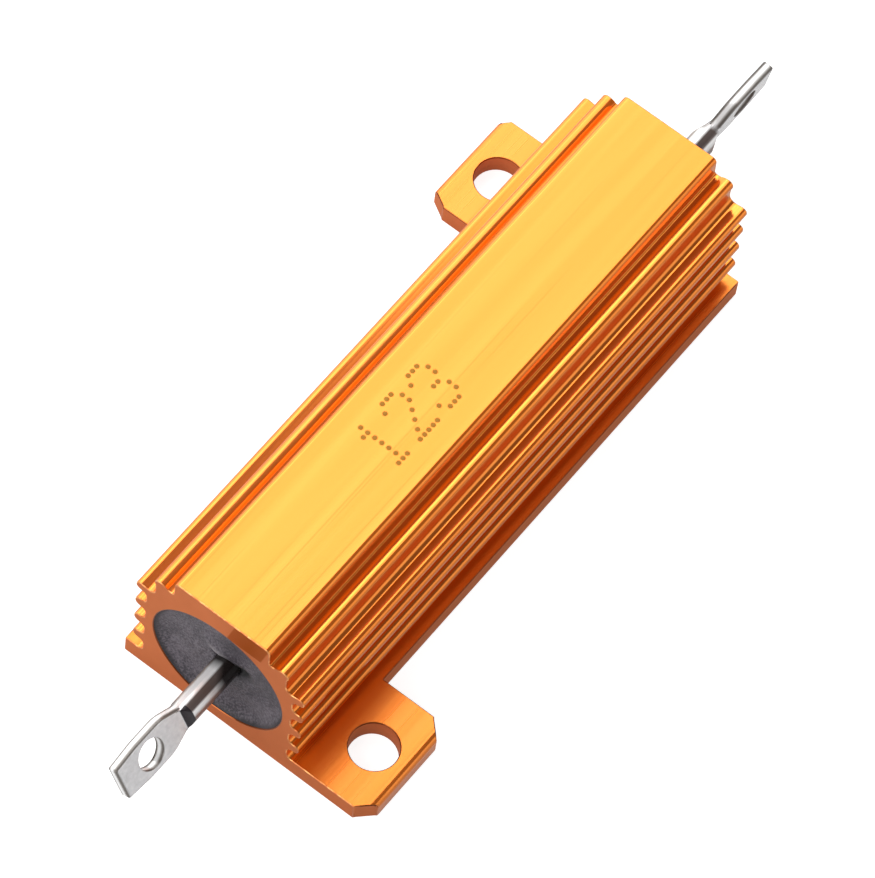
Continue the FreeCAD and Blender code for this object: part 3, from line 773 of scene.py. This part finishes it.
def was_cut(face):
    """Whether a housing face was sawn, milled or drilled, and not left by the die."""
    if abs(face.normal.x) > ALONG_AXIS:
        return True
    middle = face.calc_center_median()
    on_wall = abs(face.normal.z) < ALONG_AXIS
    at_hole = Vector((abs(middle.x) - HOLE_ALONG, abs(middle.y) - HOLE_ACROSS)).length
    in_hole = on_wall and at_hole < HOLE_REACH
    milled = (on_wall and middle.z < FLANGE_THICKNESS
              and abs(abs(middle.y) - MILLED_HALF) < MILLING_SLACK)
    return in_hole or milled


def make_housing(*materials):
    """The housing, with its materials in the order SKIN, CUT, EDGE_WEAR_AND_LIGHT."""
    shape = joined_copy("housing")
    for face in shape.faces:
        face.material_index = CUT if was_cut(face) else SKIN
    housing = add_piece("anodised_housing", shape, "anodised_aluminium", *materials)
    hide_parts("housing")
    break_edges(housing, *HOUSING_EDGE).material = EDGE_WEAR_AND_LIGHT


def sunk(share):
    """How far inside the housing's end the filling lies, at a share of the way in."""
    for (near, depth), (far, next_depth) in zip(END_SECTION, END_SECTION[1:]):
        if share <= far:
            return depth + (next_depth - depth) * (share - near) / (far - near)
    return END_SECTION[-1][1]


def relief(left, up):
    """How far the filling's end stands out at a place, in from the wall."""
    out = 0
    for layer, (rise, apart) in enumerate(END_BUMPS):
        out += rise * noise.noise(Vector((left, up, layer * MM)) / apart)
    for middle, height, rise, wide, tall in END_RELIEF:
        out += rise * math.exp(-((left - middle) / wide) ** 2 - ((up - height) / tall) ** 2)
    return out


def make_filling(compound):
    """The filling round the wound core, with the uneven ends that it set to."""
    low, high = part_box("moulding_compound")
    housing_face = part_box("housing")[1].x
    height = (low.z + high.z) / 2
    bore = (high.z - low.z) / 2
    end = []
    for ring in range(FILLING_RINGS + 1):
        share = (ring / FILLING_RINGS) ** FILLING_CROWDING
        end.append((housing_face - sunk(share), bore + (SHANK_RADIUS - bore) * share))
    room = [
        (HEAD_END, SHANK_RADIUS), (HEAD_END, HEAD_RADIUS),
        (CAP_END, HEAD_RADIUS), (CAP_END, CAP_RADIUS),
        (WINDING_END, CAP_RADIUS), (WINDING_END, WINDING_ROOM_RADIUS),
    ]
    section = end + [(CORE_OFFSET + along, radius) for along, radius in room]
    section += [(CORE_OFFSET - along, radius) for along, radius in reversed(room)]
    section += [(-along, radius) for along, radius in reversed(end)]

    shape = bmesh.new()
    corners = [
        shape.verts.new((along, -CORE_DRIFT, height + radius)) for along, radius in section
    ]
    lines = [shape.edges.new((corners[i - 1], corners[i])) for i in range(len(corners))]
    bmesh.ops.spin(
        shape, geom=corners + lines, cent=(0, -CORE_DRIFT, height), axis=(1, 0, 0),
        dvec=(0, 0, 0), angle=2 * math.pi, steps=FILLING_STEPS, use_merge=True)
    bmesh.ops.remove_doubles(shape, verts=shape.verts, dist=SAME_CORNER)

    # The rings move over from the core's axis to the bore's, and the ends get their relief
    for vert in shape.verts:
        across = vert.co.y + CORE_DRIFT
        up = vert.co.z - height
        radius = math.hypot(across, up)
        outer = max(0, (radius - WINDING_ROOM_RADIUS) / (bore - WINDING_ROOM_RADIUS))
        vert.co.y += CORE_DRIFT * outer
        if abs(vert.co.x) > CORE_OFFSET + HEAD_END + MM:
            side = math.copysign(1, vert.co.x)
            fade = min(1, (bore - radius) / RELIEF_FADE)
            vert.co.x += side * fade * relief(-side * across, up)
            vert.co.x = side * min(abs(vert.co.x), high.x)
    bmesh.ops.recalc_face_normals(shape, faces=shape.faces)
    filling = add_piece("compound_filling", shape, "moulding_compound", compound)
    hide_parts("moulding_compound")


def make_terminal(node, name, tin):
    """A terminal: round shank and pierced blade, with the edges that pressing left."""
    terminal = add_piece(name, joined_copy(node), "tinned_metal", tin)
    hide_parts(node)
    break_edges(terminal, *TERMINAL_EDGE)


def make_mark(ink):
    """Digits of printed dots on the top land, read from the near end to the far one."""
    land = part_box("housing")[1].z
    shape = bmesh.new()
    for place, digit in enumerate(MARK_DIGITS):
        for row, cells in enumerate(DOT_DIGITS[digit]):
            for column, cell in enumerate(cells):
                if cell != "#":
                    continue
                along = MARK_START + (place * DIGIT_ADVANCE + column) * DOT_PITCH_ALONG
                across = MARK_TOP - row * DOT_PITCH_ACROSS
                bmesh.ops.create_cone(
                    shape, cap_ends=True, segments=DOT_SIDES, radius1=DOT_RADIUS,
                    radius2=DOT_TOP_RADIUS, depth=DOT_HEIGHT,
                    matrix=Matrix.Translation((along, across, land)))
    add_piece("printed_mark", shape, "anodised_aluminium", ink)


def paint_inner_pieces():
    """The hidden nodes keep their CAD shapes and get their own finishes."""
    plated_steel = satin_metal("plated_steel", "#B4B2AC", "#CAC8C2")
    finishes = {
        "ceramic_core": ceramic(),
        "resistance_ribbon": satin_metal("resistance_alloy", "#8C857C", "#A59D92"),
        "end_cap_left": plated_steel,
        "end_cap_right": plated_steel,
    }
    for node, material in finishes.items():
        mesh = nodes[node].data
        mesh.materials.clear()
        mesh.materials.append(material)


def make_floor():
    # Matt white paper sweep: the camera and the metal see it white, with the shadow kept
    material, tree = new_material("white_paper")
    paper = add_node(tree, "ShaderNodeBsdfDiffuse", {"Color": FLOOR_GREY})
    path = add_node(tree, "ShaderNodeLightPath")
    to_metal = add_node(tree, "ShaderNodeMath", {
        0: path.outputs["Is Glossy Ray"], 1: GLOW_TO_METAL,
    }, operation="MULTIPLY").outputs["Value"]
    lift = add_node(tree, "ShaderNodeMath", {
        0: path.outputs["Is Camera Ray"], 1: GLOW_TO_CAMERA, 2: to_metal,
    }, operation="MULTIPLY_ADD").outputs["Value"]
    glow = add_node(tree, "ShaderNodeEmission", {"Color": (1, 1, 1, 1), "Strength": lift})
    both = add_node(tree, "ShaderNodeAddShader", {
        0: paper.outputs["BSDF"], 1: glow.outputs["Emission"],
    })
    add_node(tree, "ShaderNodeOutputMaterial", {"Surface": both.outputs["Shader"]})
    shape = bmesh.new()
    bmesh.ops.create_grid(shape, x_segments=1, y_segments=1, size=FLOOR_HALF)
    floor = put_in_scene("floor", mesh_from("floor", shape, [material]))


def softbox(name, direction, width, height, strength):
    """A rectangular soft light, turned towards the resistor."""
    light = bpy.data.lights.new(name, "AREA")
    light.shape = "RECTANGLE"
    light.size = width
    light.size_y = height
    light.energy = strength * math.pi * width * height
    lamp = put_in_scene(name, light)
    away = Vector(direction).normalized()
    lamp.location = away * SOFTBOX_DISTANCE
    lamp.rotation_euler = away.to_track_quat("Z", "Y").to_euler()


def light_studio():
    """A white fill, and the soft lights that give the metal its highlights."""
    world = bpy.data.worlds.new("studio")
    world.use_nodes = True
    fill = world.node_tree.nodes["Background"].inputs
    fill["Color"].default_value = (1, 1, 1, 1)
    fill["Strength"].default_value = FILL_STRENGTH
    bpy.context.scene.world = world
    for name, settings in SOFTBOXES.items():
        softbox(name, *settings)


def place_camera():
    """The camera that took the photograph, as fitted to the resistor's outline."""
    turn = (Matrix.Rotation(CAMERA_AZIMUTH, 3, "Z")
            @ Matrix.Rotation(math.radians(90) - CAMERA_ELEVATION, 3, "X")
            @ Matrix.Rotation(CAMERA_ROLL, 3, "Z"))
    data = bpy.data.cameras.new("camera")
    data.sensor_fit = "AUTO"
    data.sensor_width = SENSOR_MM
    data.lens = FOCAL_LENGTH_PIXELS * SENSOR_MM / max(PHOTO_WIDTH, PHOTO_HEIGHT)
    data.clip_end = CAMERA_REACH
    camera = put_in_scene("camera", data)
    camera.matrix_world = (
        Matrix.Translation(CAMERA_AIM + turn @ Vector((0, 0, CAMERA_DISTANCE)))
        @ turn.to_4x4())
    bpy.context.scene.camera = camera


def main():
    """Makes the resistor's pieces and its studio."""
    make_housing(anodised_extrusion(), anodised_cut(), edge_wear_and_light())
    make_filling(moulding_compound())
    tin = tinned_steel()
    make_terminal("terminal_left", "tinned_terminal_left", tin)
    make_terminal("terminal_right", "tinned_terminal_right", tin)
    make_mark(marking_ink())
    paint_inner_pieces()
    make_floor()
    light_studio()
    place_camera()
    bpy.context.scene.view_settings.view_transform = "Standard"


main()
